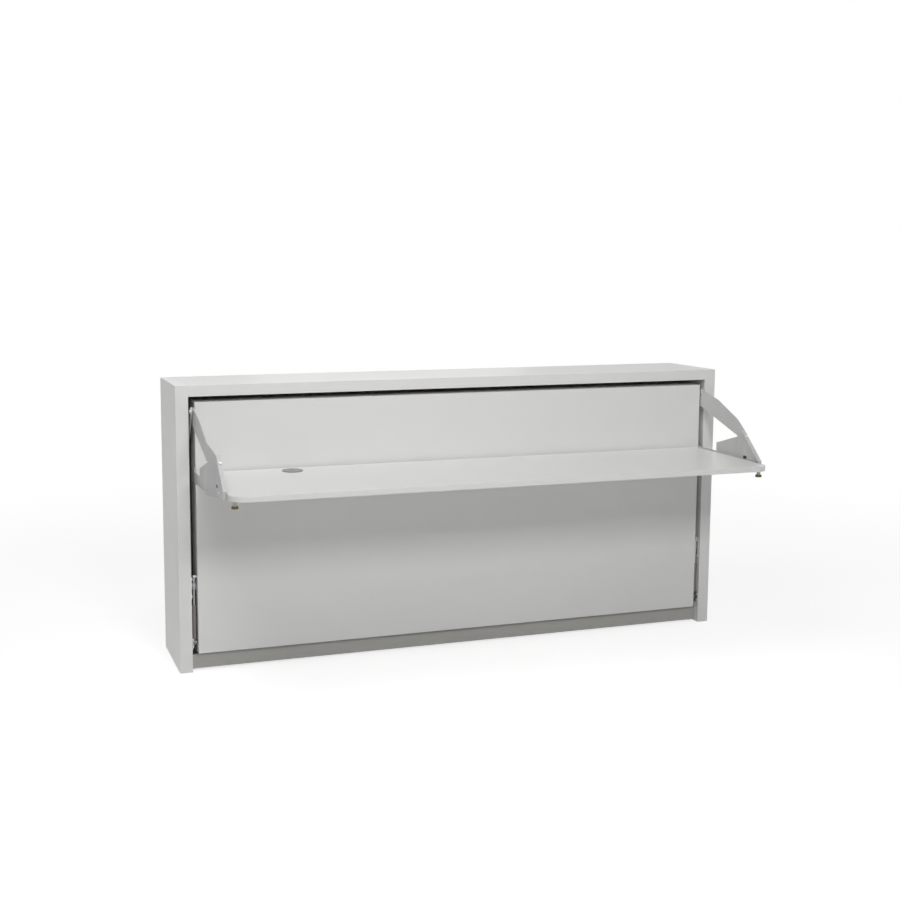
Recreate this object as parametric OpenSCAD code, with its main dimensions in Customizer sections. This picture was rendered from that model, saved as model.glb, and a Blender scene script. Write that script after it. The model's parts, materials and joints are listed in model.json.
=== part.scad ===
// Wall bed that folds down sideways, with a desk that stays level on a pair of link arms.
// +X runs along the wall, +Y goes towards the wall and +Z is up, in millimetres.
// Depths below are measured from the cabinet's front plane, and placed() then puts the
// origin on the floor, under the middle of the closed unit with its desk in use.

/* [Cabinet] */
// Overall width along the wall
cabinet_w = 2180; // [2100:10:2400]
// Overall height
cabinet_h = 1045; // [1035:1:1080]
// Depth from the front edge to the wall
cabinet_d = 345; // [340:1:400]
// Thickness of each side
side_t = 46; // [30:1:60]
// Thickness of the top
top_t = 40; // [25:1:50]
// Gap between each side and its levelling surface
side_lift = 2; // [1:0.5:4]
// Height of the kick rail's top edge
kick_top = 60; // [45:1:61]
// Height of the kick rail's lower edge
kick_bottom = 8; // [6:1:20]
// Thickness of the kick rail
kick_t = 18; // [12:1:19]
// Set-back of the kick rail from the front plane
kick_setback = 25; // [15:1:26]
// Thickness of the back panel
back_t = 4; // [3:0.5:6]
// Height of each wall rail
wall_rail_h = 100; // [80:1:120]
// Thickness of each wall rail
wall_rail_t = 18; // [15:1:20]
// Height of the lower wall rail's bottom edge
lower_rail_z = 60; // [50:1:80]
// Height of the levelling feet's blocks
level_block_h = 28; // [20:1:32]
// Height of the levelling feet's blocks above the floor
level_lift = 12; // [10:1:15]
// Thickness of a levelling foot's disc
level_foot_t = 4; // [3:0.5:5]
// Distance of the stop blocks below the top board
stop_drop = 115; // [105:1:130]

/* [Wall fixing] */
// Distance between the two pairs of wall bolts
wall_bolt_spacing = 1500; // [600:10:1800]
// Distance between the bolts of one pair
wall_bolt_rise = 50; // [30:1:60]
// Radius of each wall bolt hole
wall_bolt_r = 4.5; // [3:0.5:6]

/* [Bed] */
// Gap between the bed's end and the cabinet's side, which holds the arms and rods
end_gap = 22; // [22:0.5:26]
// Gap above the front panel
top_gap = 20; // [12:1:30]
// Height of the front panel's lower edge
panel_bottom = 69; // [68:1:75]
// Thickness of the front panel
panel_t = 18; // [15:1:22]
// Depth of the bed's frame, front panel included
frame_d = 100; // [90:1:115]
// Thickness of the frame's long rails
rail_t = 16; // [12:1:20]
// Thickness of the frame's end boards
end_t = 18; // [16:1:25]
// Depth of the slat bearers behind the front panel
bearer_d = 28; // [20:1:30]
// Height of the slat bearers
bearer_h = 30; // [26:1:40]
// Width of the battens that stiffen the front panel
batten_w = 44; // [30:1:60]
// Distance of the outer battens' middles from the frame's end boards
batten_from_end = 391; // [300:1:450]
// Least gap between the outermost slat cap and the frame's end board
slat_end_room = 15; // [5:1:30]
// Distance between slats
slat_pitch = 143; // [100:1:160]
// Width of a slat
slat_w = 68; // [40:1:75]
// Thickness of a slat
slat_t = 8; // [6:0.5:10]
// Wall of the plastic cap on a slat's end
cap_wall = 2; // [1.5:0.5:3]
// Length of a slat cap along the slat
cap_len = 22; // [16:1:24]

/* [Mattress] */
// Gap between the mattress's end and the frame's end board
mattress_end_gap = 4; // [3:0.5:20]
// Gap between the mattress's side and the frame's long rail
mattress_side_gap = 17; // [8:1:30]
// Thickness of the mattress
mattress_t = 160; // [120:5:165]
// Radius of the mattress's corners
mattress_corner_r = 45; // [20:1:80]
// How far the mattress's edges draw in at its two faces
mattress_draw = 7; // [3:1:12]
// Width of a mattress strap
strap_w = 40; // [25:1:60]
// Thickness of a mattress strap
strap_t = 2.5; // [1.5:0.5:3]

/* [Desk] */
// Height of the desk's surface
desk_h = 736; // [730:1:745]
// Thickness of the desk
desk_t = 18; // [16:1:22]
// How far the desk comes forward of the cabinet
desk_reach = 530; // [510:5:600]
// Gap between the desk and the front panel
desk_gap = 14; // [14:1:30]
// How much shorter the desk is than the front panel at each end
desk_inset = 22; // [16:1:40]
// Radius of the desk's front corners
desk_corner_r = 55; // [40:1:70]
// Radius of the desk's rear corners
desk_rear_r = 12; // [5:1:25]
// Distance of the cable grommet from the desk's left end
grommet_from_end = 311; // [120:1:900]
// Distance of the cable grommet from the desk's rear edge
grommet_from_rear = 70; // [50:1:200]
// Radius of the grommet's visible ring
grommet_r = 37.5; // [36:0.5:45]
// Radius of the hole that the grommet sits in
grommet_hole_r = 30.5; // [28:0.5:32]
// Height of a desk foot, its pad included
foot_h = 28; // [26:1:29]
// Thickness of a desk foot's pad
foot_pad_t = 8; // [5:1:10]
// Distance of the desk's feet from its ends
foot_inset = 20; // [18:1:30]
// Distance of the front feet in front of the brackets
foot_front_gap = 30; // [25:1:32]
// Distance of the rear feet from the desk's rear edge
foot_rear_inset = 60; // [40:1:80]

/* [Linkage] */
// Distance of the bed's pivot behind the front plane
pivot_y = 45; // [44:1:46]
// Height of the bed's pivot
pivot_z = 310; // [308:1:314]
// How far the desk's pin is in front of the cabinet
arm_reach = 237; // [234:1:240]
// How far the desk's pin is below the desk's surface
desk_pin_drop = 20; // [18:1:22]
// How far the upper link pin is below the cabinet's top board
link_pin_drop = 53; // [51:1:55]
// Distance of the upper link pin behind the front plane
link_pin_y = 2; // [0:1:4]
// Depth of an arm's root on the bed's end board
arm_root_d = 50; // [45:1:60]
// Height of an arm's root
arm_root_h = 60; // [55:1:70]
// Thickness of the steel plates of the arms and brackets
plate_t = 3; // [2.5:0.5:3.5]
// Thickness of the control rods
rod_t = 5; // [4:0.5:5]
// Width of the control rods
rod_w = 26; // [20:1:28]
// Radius of the lug round a rod's pin
rod_lug_r = 16; // [15:1:18]
// Radius of the desk and link pins
pin_r = 6; // [5:0.5:6.5]
// Radius of the studs that the bed turns on
stud_r = 9; // [8:0.5:10]
// Radial clearance of every pin in its bush
pin_fit = 0.05; // [0.02:0.01:0.1]

/* [Desk brackets] */
// Distance of a bracket's foot behind the desk's front edge
bracket_setback = 80; // [70:1:95]
// Gap between the desk's end and a bracket's front part
bracket_side_gap = 9; // [6:0.5:12]
// Depth over which a bracket jogs outwards, into the gap at the bed's end
jog_run = 75; // [35:1:80]
// Distance of the jog in front of the lug round the desk's pin
jog_gap = 3; // [2:1:20]
// Rise of the front edge's lower corner above the desk's surface
nose_rise = 6; // [4:1:12]
// Run of the sloping front edge
slope_run = 115; // [100:1:125]
// Rise of the sloping front edge
slope_rise = 103; // [95:1:110]
// Distance of the fork between arm and plate behind the slope's top
fork_run = 63; // [55:1:75]
// Drop of the fork below the slope's top
fork_drop = 33; // [28:1:38]
// Distance of the plate's rear edge in front of the cabinet
plate_rear = 124; // [110:1:140]
// Height of the plate's rear corner above the desk's surface
plate_rear_rise = 32; // [25:1:40]
// Distance of the upper arm's bend in front of the upper link pin
bend_run = 127; // [115:1:140]
// Drop from the upper link pin to the upper arm's bend
bend_drop = 15; // [10:1:20]
// Distance of the upper arm's lower rear corner behind the upper link pin
arm_end_run = 12; // [8:1:14]
// Drop from the upper link pin to the upper arm's lower rear corner
arm_end_drop = 48; // [40:1:55]
// Radius of the lug round the desk's pin
lug_r = 20; // [17:1:20]
// Width of the front edge's inward flange
flange_w = 12; // [11:0.5:16]
// Distance of the front flange's bolt below the slope's top
flange_bolt_drop = 36; // [30:1:50]
// Width of the foot flange under the desk
foot_flange_w = 60; // [50:1:80]
// Distance of the foot flange's bolts from its outer edge
foot_bolt_inset = 29; // [20:1:35]

/* [Gas springs] */
// Distance of the spring's lower pin behind the front plane
spring_low_y = 24; // [22:1:26]
// Height of the spring's lower pin
spring_low_z = 107; // [104:1:110]
// Distance of the spring's upper socket behind the front plane
spring_top_y = 14; // [12:1:16]
// Height of the spring's upper socket
spring_top_z = 352; // [350:1:356]
// Radius of the spring's cylinder
cylinder_r = 7.5; // [6.5:0.5:7.5]
// Length of the spring's cylinder
cylinder_l = 125; // [120:1:128]
// Radius of the spring's rod
spring_rod_r = 3; // [2.5:0.5:4]

/* [Hidden] */
$fn = 48;
half_w = cabinet_w / 2;
side_x = half_w - side_t;
bed_x = side_x - end_gap;
top_z = cabinet_h - top_t;
panel_top = top_z - top_gap;
back_y = cabinet_d - back_t;
wall_rail_y = back_y - wall_rail_t;
front_y = (desk_reach - cabinet_d) / 2;

end_x = bed_x - end_t;
rail_low_z = panel_bottom + rail_t;
rail_high_z = panel_top - rail_t;
slat_pairs = floor((end_x - slat_end_room - cap_wall - slat_w / 2) / slat_pitch + 0.5);
slat_count = slat_pairs * 2;
slat_lift = 2;
slat_y = panel_t + bearer_d + cap_wall + slat_lift;
slat_front_y = slat_y + slat_t;
cap_front_y = slat_front_y + cap_wall;
batten_count = 3;
batten_pitch = end_x - batten_from_end;

soft_gap = 0.5;
mattress_y = cap_front_y + soft_gap;
mattress_z = (rail_low_z + rail_high_z) / 2;
mattress_l = (end_x - mattress_end_gap) * 2;
mattress_w = rail_high_z - rail_low_z - mattress_side_gap * 2;
mattress_back_y = mattress_y + mattress_t;
strap_x = slat_pitch * 3;
strap_z = mattress_w / 2 + soft_gap;
strap_y = mattress_back_y + soft_gap;
buckle_t = 5;
buckle_border = 6;
buckle_w = strap_w + buckle_border * 2;
buckle_h = 46;

desk_x = bed_x - desk_inset;
desk_under = desk_h - desk_t;
grommet_x = grommet_from_end - desk_x;
grommet_y = -desk_gap - grommet_from_rear;
grommet_wall = 3.5;
grommet_lip = 1.2;
grommet_bore_r = grommet_hole_r - grommet_wall;
grommet_recess_r = grommet_hole_r - grommet_lip;
grommet_fit = 0.1;
grommet_lift = 2;
grommet_rim_t = 3;
grommet_floor = 0.6;
grommet_cap_gap = 0.2;
cable_notch_w = 16;
cable_notch_d = 12;

// The four pivots of the linkage, each as [depth, height]
bed_pivot = [pivot_y, pivot_z];
desk_pivot = [-arm_reach, desk_h - desk_pin_drop];
link_top = [link_pin_y, top_z - link_pin_drop];
link_low = bed_pivot + link_top - desk_pivot;

// Layers in the gap at the bed's end, from the bed outwards
arm_x = bed_x;
bush_rim_t = 1;
layer_gap = 0.5;
rod_gap = 1;
bracket_x = arm_x + plate_t + bush_rim_t + layer_gap;
rod_x = bracket_x + plate_t + bush_rim_t + rod_gap;
mount_plate_x = side_x - plate_t;
washer_gap = 0.3;
head_t = 2.5;
bush_wall = 3;
stud_bush_wall = 4;
bush_r = pin_r + bush_wall;
bush_rim_r = bush_r + bush_wall;
stud_bush_r = stud_r + stud_bush_wall;
collar_w = 5;
shoulder_w = 4;
head_rim = 3;
rivet_rim = 2;
rivet_t = 1.5;
pivot_rim_t = 2;
pivot_gap = 1;

spring_side_gap = 11;
spring_axis_x = side_x - spring_side_gap;
spring_low = [spring_low_y, spring_low_z];
spring_top = [spring_top_y, spring_top_z];
spring_l = norm(spring_top - spring_low);
spring_lean = atan2(spring_low_y - spring_top_y, spring_top_z - spring_low_z);
spring_eye_r = 9;
spring_eye_w = 10;
spring_pin_r = 4;
socket_r = 7;
socket_w = 8;
cylinder_start = 14;
cylinder_end = cylinder_start + cylinder_l;
rod_in_cylinder = 25;
rod_in_socket = 1;
cylinder_floor = 12;
spring_neck_r = 4.5;
neck_sink = 2;
socket_neck_l = 6;
socket_neck_r = 5;
stud_rim_t = 2;

stop_gap = 0.3;
stop_pad_t = 3;
stop_block_t = 22;
stop_h = 40;
stop_z = top_z - stop_drop;
stop_lap = 12;

cut_past = 1;
screw_r = 3;
screw_cover = 4;
screw_head_r = 5;
screw_head_t = 2.5;
sink_t = 2;
foot_r = 11.5;
foot_stem_r = 7;
foot_plate_t = 2;
foot_plate_rim = 2.5;
level_foot_r = 9;
level_stem_r = 4;
level_foot_inset = 11;
level_foot_x = side_x - level_foot_inset;
level_block = 20;

laminate = [0.90, 0.90, 0.89];
grey_steel = [0.66, 0.66, 0.65];
kick_grey = [0.60, 0.60, 0.58];
bright_steel = [0.80, 0.80, 0.82];
dark_steel = [0.28, 0.28, 0.29];
beech = [0.84, 0.70, 0.52];
pine = [0.80, 0.66, 0.46];
black_plastic = [0.12, 0.12, 0.12];
nylon = [0.86, 0.85, 0.80];
ticking = [0.93, 0.93, 0.91];
webbing = [0.30, 0.31, 0.33];
foot_olive = [0.45, 0.40, 0.18];
grommet_grey = [0.58, 0.58, 0.58];

// Helpers

// Moves a piece from the front plane's depths to the part's own origin
module placed() translate([0, front_y, 0]) children();

// A piece modelled at the right-hand end, or its mirror image at the left
module at_end(side) {
    if (side > 0) children();
    else mirror([1, 0, 0]) children();
}

module both_ends() {
    at_end(1) children();
    at_end(-1) children();
}

// A box between two corners
module block(low, high) translate(low) cube(high - low);

// A flat shape drawn as [depth, height], standing at x and t thick towards +X
module upright_plate(x, t) translate([x, 0, 0]) rotate([90, 0, 90]) linear_extrude(t) children();

// A round bar along X from x0 to x1, at [depth, height]
module x_bar(at, r, x0, x1) translate([x0, at[0], at[1]]) rotate([0, 90, 0]) cylinder(r = r, h = x1 - x0);

// Cabinet

module side(side) at_end(side) block([side_x, 0, side_lift], [half_w, cabinet_d, cabinet_h]);

module side_left() color(laminate) side(-1);

module side_right() color(laminate) side(1);

module top_panel() color(laminate) block([-side_x, 0, top_z], [side_x, cabinet_d, cabinet_h]);

module kick_rail()
    color(kick_grey)
        block([-side_x, kick_setback, kick_bottom], [side_x, kick_setback + kick_t, kick_top]);

// Bores for the wall bolts, through the upper rail and the back panel
module wall_bolt_bores() {
    for (x = [-wall_bolt_spacing / 2, wall_bolt_spacing / 2])
        for (z = [-wall_bolt_rise / 2, wall_bolt_rise / 2])
            translate([x, wall_rail_y - cut_past, top_z - wall_rail_h / 2 + z])
                rotate([-90, 0, 0])
                    cylinder(r = wall_bolt_r, h = wall_rail_t + back_t + cut_past * 2);
}

module wall_rail_upper()
    color(laminate)
        difference() {
            block([-side_x, wall_rail_y, top_z - wall_rail_h], [side_x, back_y, top_z]);
            wall_bolt_bores();
        }

module wall_rail_lower()
    color(laminate)
        block([-side_x, wall_rail_y, lower_rail_z], [side_x, back_y, lower_rail_z + wall_rail_h]);

module back_panel()
    color(laminate)
        difference() {
            block([-side_x, back_y, kick_bottom], [side_x, cabinet_d, top_z]);
            wall_bolt_bores();
        }

corner_leg = 42;
corner_w = 34;
corner_rear_gap = 12;
corner_y = wall_rail_y - corner_w - corner_rear_gap;

module corner_brackets()
    color(bright_steel)
        both_ends() {
            block([side_x - plate_t, corner_y, top_z - corner_leg], [side_x, corner_y + corner_w, top_z]);
            block([side_x - corner_leg, corner_y, top_z - plate_t],
                [side_x - plate_t, corner_y + corner_w, top_z]);
        }

// Levelling feet stand behind the kick rail and at the rear, on blocks fixed to the sides
level_kick_gap = 3;
level_front_y = kick_setback + kick_t + level_block / 2 + level_kick_gap;
level_rear_y = wall_rail_y - level_block / 2;

module levelling_feet()
    color(grey_steel)
        both_ends()
            for (y = [level_front_y, level_rear_y]) {
                block([level_foot_x - level_block / 2, y - level_block / 2, level_lift],
                    [side_x, y + level_block / 2, level_lift + level_block_h]);
                translate([level_foot_x, y, level_foot_t])
                    cylinder(r = level_stem_r, h = level_lift - level_foot_t);
                translate([level_foot_x, y, 0]) cylinder(r = level_foot_r, h = level_foot_t);
            }

pivot_plate = [66, 80];
link_plate = [60, 56];
spring_plate = [44, 40];
plate_screw_inset = 8;

// Centres of the screws in a fixing plate of a given size
function plate_corners(at, size) = [for (y = [-1, 1]) for (z = [-1, 1])
    at + [y * (size[0] / 2 - plate_screw_inset), z * (size[1] / 2 - plate_screw_inset)]];

// A steel plate on the side's inner face
module fixing_plate(at, size)
    upright_plate(mount_plate_x, plate_t)
        difference() {
            translate(at - size / 2) square(size);
            for (p = plate_corners(at, size)) translate(p) circle(screw_r);
        }

// Stud that the bed turns on
module bed_pivot_end(side)
    at_end(side) {
        fixing_plate(bed_pivot, pivot_plate);
        x_bar(bed_pivot, stud_r, end_x + screw_cover, mount_plate_x);
        x_bar(bed_pivot, stud_r + collar_w, bed_x + pivot_rim_t + pivot_gap, mount_plate_x);
    }

module bed_pivot_left() color(bright_steel) bed_pivot_end(-1);

module bed_pivot_right() color(bright_steel) bed_pivot_end(1);

// Lower pin of a control rod
module link_pivot_end(side)
    at_end(side) {
        fixing_plate(link_low, link_plate);
        x_bar(link_low, pin_r, rod_x - bush_rim_t - washer_gap, mount_plate_x);
        x_bar(link_low, pin_r + shoulder_w, rod_x + rod_t + bush_rim_t + washer_gap, mount_plate_x);
        x_bar(link_low, pin_r + head_rim, rod_x - bush_rim_t - washer_gap - head_t,
            rod_x - bush_rim_t - washer_gap);
    }

module link_pivot_left() color(bright_steel) link_pivot_end(-1);

module link_pivot_right() color(bright_steel) link_pivot_end(1);

// Lower pin of a gas spring
module spring_base_end(side)
    at_end(side) {
        fixing_plate(spring_low, spring_plate);
        x_bar(spring_low, spring_pin_r, spring_axis_x - spring_eye_w / 2 - washer_gap, mount_plate_x);
        x_bar(spring_low, spring_pin_r + rivet_rim, spring_axis_x + spring_eye_w / 2 + washer_gap,
            mount_plate_x);
        x_bar(spring_low, spring_pin_r + rivet_rim, spring_axis_x - spring_eye_w / 2 - washer_gap - head_t,
            spring_axis_x - spring_eye_w / 2 - washer_gap);
    }

module spring_base_left() color(bright_steel) spring_base_end(-1);

module spring_base_right() color(bright_steel) spring_base_end(1);

module stop_blocks()
    color(nylon)
        both_ends()
            block([bed_x - stop_lap, frame_d + stop_gap + stop_pad_t, stop_z],
                [side_x, frame_d + stop_gap + stop_pad_t + stop_block_t, stop_z + stop_h]);

module stop_pads()
    color(black_plastic)
        both_ends()
            block([bed_x - stop_lap, frame_d + stop_gap, stop_z],
                [bed_x, frame_d + stop_gap + stop_pad_t, stop_z + stop_h]);

// Screws of the fixing plates, with their shanks in the plates' holes
module plate_screw(at) {
    x_bar(at, screw_r, mount_plate_x, side_x);
    x_bar(at, screw_head_r, mount_plate_x - screw_head_t, mount_plate_x);
}

module plate_screws()
    color(bright_steel)
        both_ends() {
            for (p = plate_corners(bed_pivot, pivot_plate)) plate_screw(p);
            for (p = plate_corners(link_low, link_plate)) plate_screw(p);
            for (p = plate_corners(spring_low, spring_plate)) plate_screw(p);
        }

// Bed

module front_panel() color(laminate) block([-bed_x, 0, panel_bottom], [bed_x, panel_t, panel_top]);

module bed_rail_lower()
    color(laminate) block([-end_x, panel_t, panel_bottom], [end_x, frame_d, rail_low_z]);

module bed_rail_upper()
    color(laminate) block([-end_x, panel_t, rail_high_z], [end_x, frame_d, panel_top]);

// End board, with the bore that holds the bed's bush
module bed_end(side)
    at_end(side)
        difference() {
            block([end_x, panel_t, panel_bottom], [bed_x, frame_d, panel_top]);
            x_bar(bed_pivot, stud_bush_r, end_x - cut_past, bed_x + cut_past);
            for (p = arm_screw_points) x_bar(p, screw_r, end_x + screw_cover, bed_x + cut_past);
        }

module bed_end_left() color(laminate) bed_end(-1);

module bed_end_right() color(laminate) bed_end(1);

module slat_bearer_lower()
    color(pine) block([-end_x, panel_t, rail_low_z], [end_x, panel_t + bearer_d, rail_low_z + bearer_h]);

module slat_bearer_upper()
    color(pine) block([-end_x, panel_t, rail_high_z - bearer_h], [end_x, panel_t + bearer_d, rail_high_z]);

module panel_battens()
    color(pine)
        for (i = [0 : batten_count - 1])
            translate([(i - (batten_count - 1) / 2) * batten_pitch, 0, 0])
                block([-batten_w / 2, panel_t, rail_low_z + bearer_h],
                    [batten_w / 2, panel_t + bearer_d, rail_high_z - bearer_h]);

slat_end_gap = 9;
slat_low_z = rail_low_z + slat_end_gap;
slat_high_z = rail_high_z - slat_end_gap;

module at_slats()
    for (i = [0 : slat_count - 1])
        translate([(i - (slat_count - 1) / 2) * slat_pitch, 0, 0]) children();

module slats()
    color(beech)
        at_slats() block([-slat_w / 2, slat_y, slat_low_z], [slat_w / 2, slat_front_y, slat_high_z]);

// A cap on one end of a slat: a pocket on a foot that stands on the bearer
module slat_cap(end_z, inward)
    difference() {
        translate([-slat_w / 2 - cap_wall, panel_t + bearer_d,
            min(end_z - inward * cap_wall, end_z + inward * cap_len)])
            cube([slat_w + cap_wall * 2, cap_front_y - panel_t - bearer_d, cap_len + cap_wall]);
        translate([-slat_w / 2, slat_y, min(end_z, end_z + inward * (cap_len + cut_past))])
            cube([slat_w, slat_t, cap_len + cut_past]);
    }

module slat_caps()
    color(black_plastic)
        at_slats() {
            slat_cap(slat_low_z, 1);
            slat_cap(slat_high_z, -1);
        }

// Mattress outline as [length, width], with round corners
module mattress_outline(inset)
    translate([0, mattress_z])
        hull()
            for (x = [-1, 1])
                for (z = [-1, 1])
                    translate([x * (mattress_l / 2 - mattress_corner_r),
                        z * (mattress_w / 2 - mattress_corner_r)])
                        circle(mattress_corner_r - inset, $fn = 32);

module mattress_slice(y, inset)
    translate([0, y, 0]) rotate([90, 0, 0]) linear_extrude(slice_t) mattress_outline(inset);

mattress_round = 14;
slice_t = 0.1;

module mattress()
    color(ticking)
        hull() {
            mattress_slice(mattress_y + slice_t, mattress_draw);
            mattress_slice(mattress_y + mattress_round, 0);
            mattress_slice(mattress_back_y - mattress_round, 0);
            mattress_slice(mattress_back_y, mattress_draw);
        }

// A strap runs from the lower bearer, over the mattress, to the upper bearer
module mattress_straps()
    color(webbing)
        for (x = [-strap_x, strap_x])
            translate([x, 0, 0]) {
                block([-strap_w / 2, panel_t + bearer_d, mattress_z - strap_z - strap_t],
                    [strap_w / 2, strap_y + strap_t, mattress_z - strap_z]);
                block([-strap_w / 2, strap_y, mattress_z - strap_z],
                    [strap_w / 2, strap_y + strap_t, mattress_z + strap_z]);
                block([-strap_w / 2, panel_t + bearer_d, mattress_z + strap_z],
                    [strap_w / 2, strap_y + strap_t, mattress_z + strap_z + strap_t]);
            }

module strap_buckles()
    color(black_plastic)
        for (x = [-strap_x, strap_x])
            block([x - buckle_w / 2, strap_y + strap_t, mattress_z + buckle_h],
                [x + buckle_w / 2, strap_y + strap_t + buckle_t, mattress_z + buckle_h * 2]);

module pivot_bushes()
    color(nylon)
        both_ends()
            difference() {
                union() {
                    x_bar(bed_pivot, stud_bush_r, end_x, bed_x);
                    x_bar(bed_pivot, stud_bush_r + collar_w, bed_x, bed_x + pivot_rim_t);
                }
                x_bar(bed_pivot, stud_r + pin_fit, end_x - cut_past, bed_x + pivot_rim_t + cut_past);
            }

// Arm that carries the desk's pin out from the bed's end
arm_root_y = panel_t + arm_root_d;
arm_screw_inset = 12;
arm_screw_points = [for (y = [panel_t + arm_screw_inset, arm_root_y - arm_screw_inset]) for (z = [-1, 1])
    [y, desk_pivot[1] + z * (arm_root_h / 2 - arm_screw_inset)]];

module desk_arm(side)
    at_end(side)
        difference() {
            upright_plate(arm_x, plate_t)
                union() {
                    polygon([
                        desk_pivot + [0, -lug_r],
                        [0, desk_pivot[1] - lug_r],
                        [panel_t, desk_pivot[1] - arm_root_h / 2],
                        [arm_root_y, desk_pivot[1] - arm_root_h / 2],
                        [arm_root_y, desk_pivot[1] + arm_root_h / 2],
                        [panel_t, desk_pivot[1] + arm_root_h / 2],
                        [0, desk_pivot[1] + lug_r],
                        desk_pivot + [0, lug_r]
                    ]);
                    translate(desk_pivot) circle(lug_r);
                }
            x_bar(desk_pivot, bush_r, arm_x - cut_past, arm_x + plate_t + cut_past);
            for (p = arm_screw_points) arm_screw(p);
        }

module desk_arm_left() color(grey_steel) desk_arm(-1);

module desk_arm_right() color(grey_steel) desk_arm(1);

// Countersunk screw through the arm into the end board
module arm_screw(at) {
    x_bar(at, screw_r, end_x + screw_cover, arm_x + plate_t - sink_t);
    translate([arm_x + plate_t - sink_t, at[0], at[1]])
        rotate([0, 90, 0]) cylinder(r1 = screw_r, r2 = screw_head_r, h = sink_t);
}

module arm_screws() color(bright_steel) both_ends() for (p = arm_screw_points) arm_screw(p);

// A flanged bush through a plate that starts at x and is t thick
module flanged_bush(at, x, t)
    difference() {
        union() {
            x_bar(at, bush_r, x, x + t);
            x_bar(at, bush_rim_r, x - bush_rim_t, x);
            x_bar(at, bush_rim_r, x + t, x + t + bush_rim_t);
        }
        x_bar(at, pin_r + pin_fit, x - bush_rim_t - cut_past, x + t + bush_rim_t + cut_past);
    }

module arm_bushes() color(nylon) both_ends() flanged_bush(desk_pivot, arm_x, plate_t);

// Studs on the bed's ends that the gas springs push on
module spring_studs()
    color(bright_steel)
        both_ends() {
            x_bar(spring_top, socket_r, bed_x, bed_x + stud_rim_t);
            x_bar(spring_top, spring_pin_r, bed_x + stud_rim_t, spring_axis_x - socket_w / 2 - stop_gap);
        }

// Desk

module desk_outline() {
    rear_y = -desk_gap;
    difference() {
        union() {
            translate([-desk_x, -desk_reach + desk_corner_r])
                square([desk_x * 2, desk_reach - desk_gap - desk_corner_r - desk_rear_r]);
            translate([-desk_x + desk_corner_r, -desk_reach])
                square([(desk_x - desk_corner_r) * 2, desk_corner_r]);
            translate([-desk_x + desk_rear_r, rear_y - desk_rear_r])
                square([(desk_x - desk_rear_r) * 2, desk_rear_r]);
            for (x = [-1, 1]) {
                translate([x * (desk_x - desk_corner_r), desk_corner_r - desk_reach])
                    circle(desk_corner_r);
                translate([x * (desk_x - desk_rear_r), rear_y - desk_rear_r]) circle(desk_rear_r);
            }
        }
        translate([grommet_x, grommet_y]) circle(grommet_hole_r);
    }
}

bolt_l = 12;

module desk_top()
    color(laminate)
        difference() {
            translate([0, 0, desk_under]) linear_extrude(desk_t) desk_outline();
            both_ends()
                for (p = foot_bolt_points)
                    translate([p[0], p[1], desk_under - cut_past])
                        cylinder(r = screw_r, h = bolt_l + cut_past);
            both_ends() x_bar(edge_bolt, screw_r, desk_x - edge_bolt_l, desk_x + cut_past);
        }

// Corners of a bracket's outline, as [depth, height]
bracket_reach = desk_reach - bracket_setback;
front_x = desk_x + bracket_side_gap;
desk_end_clear = 0.3;
jog_rear_y = desk_pivot[0] - lug_r - jog_gap;
jog_front_y = jog_rear_y - jog_run;
foot_low = desk_under - plate_t;
nose = [-bracket_reach, desk_h + nose_rise];
shoulder = nose + [slope_run, slope_rise];
fork = shoulder + [fork_run, -fork_drop];
bend = link_top - [bend_run, bend_drop];
arm_end = link_top + [arm_end_run, -arm_end_drop];
slope_l = norm(shoulder - nose);
slope_angle = atan2(slope_rise, slope_run);
arm_lean = atan2(link_top[1] + rod_lug_r - bend[1], link_top[0] - bend[0]);

// Oval slot low in the plate, closed by a plug, in front of the jog
slot_from_bend = 12;
slot_rise = 7;
slot_at = [jog_front_y - slot_from_bend, desk_h + slot_rise];
slot_r = 4;
slot_run = 12;
plug_rim = 1.6;
plug_rim_t = 0.8;

// Bolts through the foot flange, through the front flange and into the desk's end edge
foot_flange_l = bracket_reach + jog_front_y;
foot_bolt_x = front_x - foot_bolt_inset;
foot_bolt_from_end = 20;
foot_bolt_points = [for (i = [0, 1])
    [foot_bolt_x, foot_bolt_from_end - bracket_reach + i * (foot_flange_l - foot_bolt_from_end * 2)]];
flange_bolt_at = slope_l - flange_bolt_drop;
edge_bolt = [foot_flange_l / 2 - bracket_reach, desk_under + desk_t / 2];
edge_bolt_l = 30;

module slot_shape(rim) {
    for (y = [-1, 1]) translate(slot_at + [y * slot_run / 2, 0]) circle(slot_r + rim);
    translate(slot_at - [slot_run / 2, slot_r + rim]) square([slot_run, (slot_r + rim) * 2]);
}

module bracket_outline()
    difference() {
        union() {
            polygon([
                [-bracket_reach, foot_low],
                nose,
                shoulder,
                bend,
                link_top + rod_lug_r * [-sin(arm_lean), cos(arm_lean)],
                link_top + rod_lug_r * [0.94, -0.34],
                arm_end,
                fork,
                [-plate_rear, desk_h + plate_rear_rise],
                [-plate_rear, foot_low],
                [desk_pivot[0], foot_low],
                desk_pivot - [0, lug_r]
            ]);
            translate(link_top) circle(rod_lug_r);
            translate(desk_pivot) circle(lug_r);
        }
        for (p = [desk_pivot, link_top]) translate(p) circle(pin_r);
        translate(edge_bolt) circle(screw_r);
        slot_shape(0);
    }

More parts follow.
